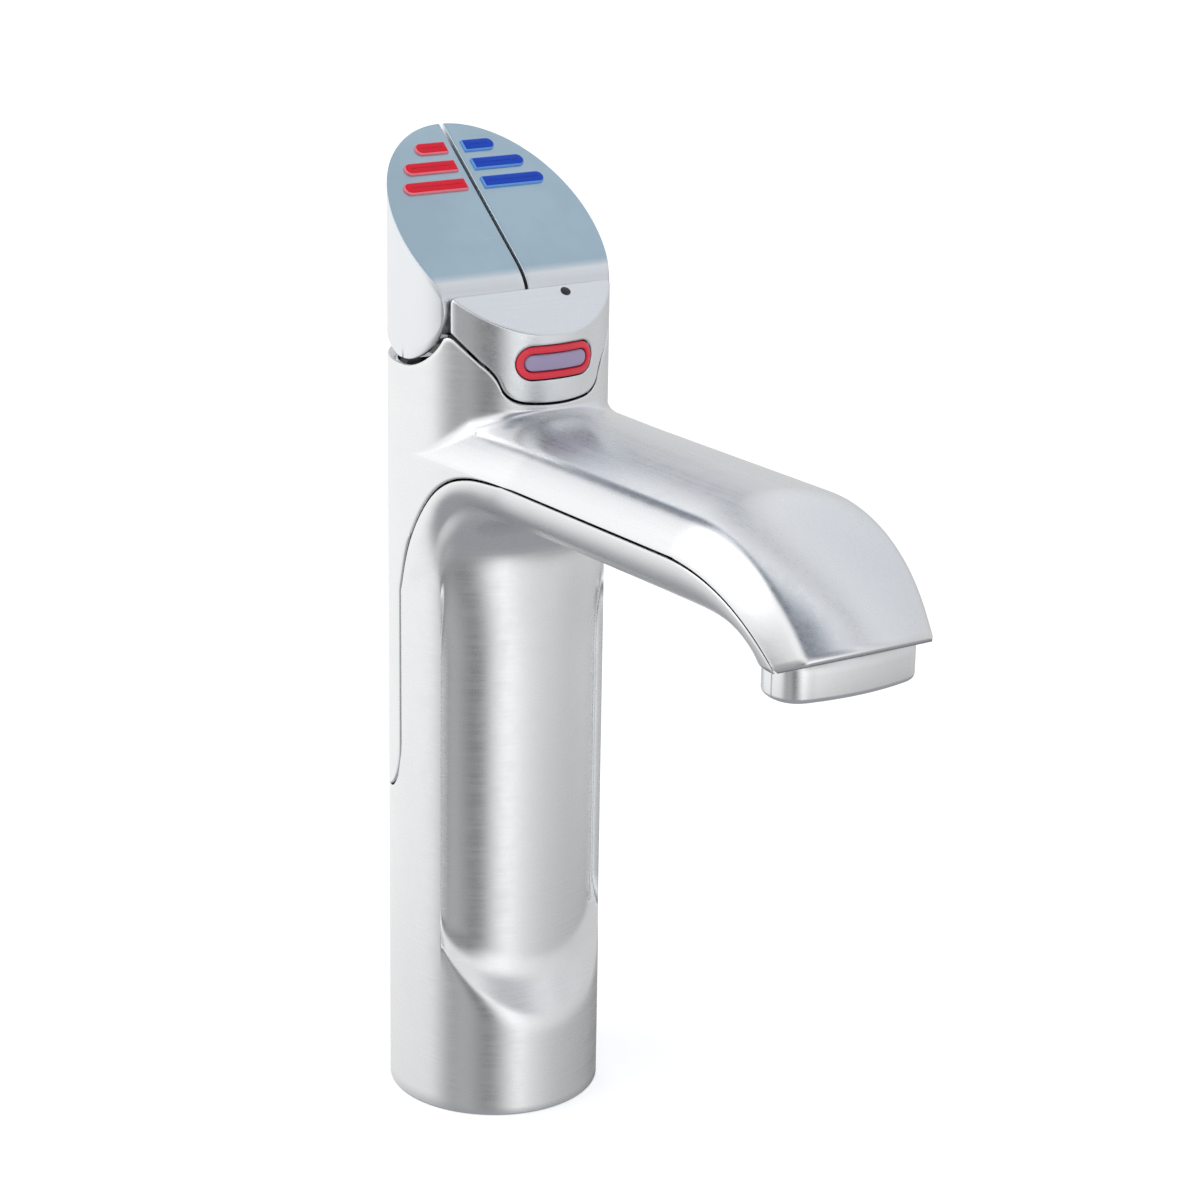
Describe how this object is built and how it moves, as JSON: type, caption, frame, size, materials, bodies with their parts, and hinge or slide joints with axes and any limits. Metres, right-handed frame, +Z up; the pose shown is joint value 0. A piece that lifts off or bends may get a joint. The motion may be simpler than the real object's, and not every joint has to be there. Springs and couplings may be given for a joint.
{
  "type": "boiling water tap",
  "caption": "Bench-mounted column tap for filtered boiling and chilled water, with a cast spout, twin tilt levers and a safety button.",
  "frame": {"origin": "centre of the flat base on the column's axis, at the worktop", "axes": "+Z up along the column; -Y is the front, towards which the spout points; +X is the chilled lever's side and -X the boiling lever's"},
  "size_m": [0.06, 0.1963, 0.2724],
  "materials": {
    "brushed_steel": "fine brushed satin",
    "satin_steel": "fine brushed satin, slightly cooler",
    "screw_steel": "machined",
    "brass": "machined",
    "black_rubber": "matt",
    "black_plastic": "moulded",
    "silicone": "smooth translucent white",
    "red_inlay": "glossy raised inlay",
    "blue_inlay": "glossy raised inlay",
    "red_light_ring": "lit light guide",
    "button_grey": "soft moulded",
    "board_green": "solder mask"
  },
  "bodies": {
    "tap_body": {"lower_casting": "brushed_steel", "upper_casting": "brushed_steel", "base_plate": "brass", "base_seal": "black_rubber", "base_screw_1": "screw_steel", "base_screw_2": "screw_steel", "base_screw_3": "screw_steel", "boiling_tube": "silicone", "chilled_tube": "silicone", "vent_tube": "silicone", "sensor_lead": "black_rubber", "tube_clip": "black_plastic", "outlet_block": "brushed_steel", "outlet_seal": "black_rubber", "spray_nozzle": "screw_steel", "head_chassis": "black_plastic", "lever_axle": "screw_steel", "boiling_spacer": "black_plastic", "boiling_return_spring": "screw_steel", "chassis_screw_boiling": "screw_steel", "chilled_spacer": "black_plastic", "chilled_return_spring": "screw_steel", "chassis_screw_chilled": "screw_steel", "control_board": "board_green", "fascia": "satin_steel", "indicator_lens": "black_plastic", "button_light_ring": "red_light_ring", "button_board": "board_green", "button_switch": "black_plastic"},
    "boiling_lever": {"boiling_lever": "satin_steel", "boiling_bar_1": "red_inlay", "boiling_bar_2": "red_inlay", "boiling_bar_3": "red_inlay", "boiling_magnet": "screw_steel"},
    "chilled_lever": {"chilled_lever": "satin_steel", "chilled_bar_1": "blue_inlay", "chilled_bar_2": "blue_inlay", "chilled_bar_3": "blue_inlay", "chilled_magnet": "screw_steel"},
    "button": {"safety_button": "button_grey"}
  },
  "joints": [
    {"name": "boiling_lever_tilt", "type": "hinge", "parent": "tap_body", "child": "boiling_lever", "pos_m": [-0.012, 0, 0.2305], "axis": [1, 0, 0], "range_deg": [-10, 8], "stiffness_Nm_per_rad": 1.5},
    {"name": "chilled_lever_tilt", "type": "hinge", "parent": "tap_body", "child": "chilled_lever", "pos_m": [0.012, 0, 0.2305], "axis": [1, 0, 0], "range_deg": [-10, 8], "stiffness_Nm_per_rad": 1.5},
    {"name": "safety_button_press", "type": "slide", "parent": "tap_body", "child": "button", "axis": [0, 1, 0], "range_m": [0, 0.0012], "stiffness_N_per_m": 600}
  ]
}
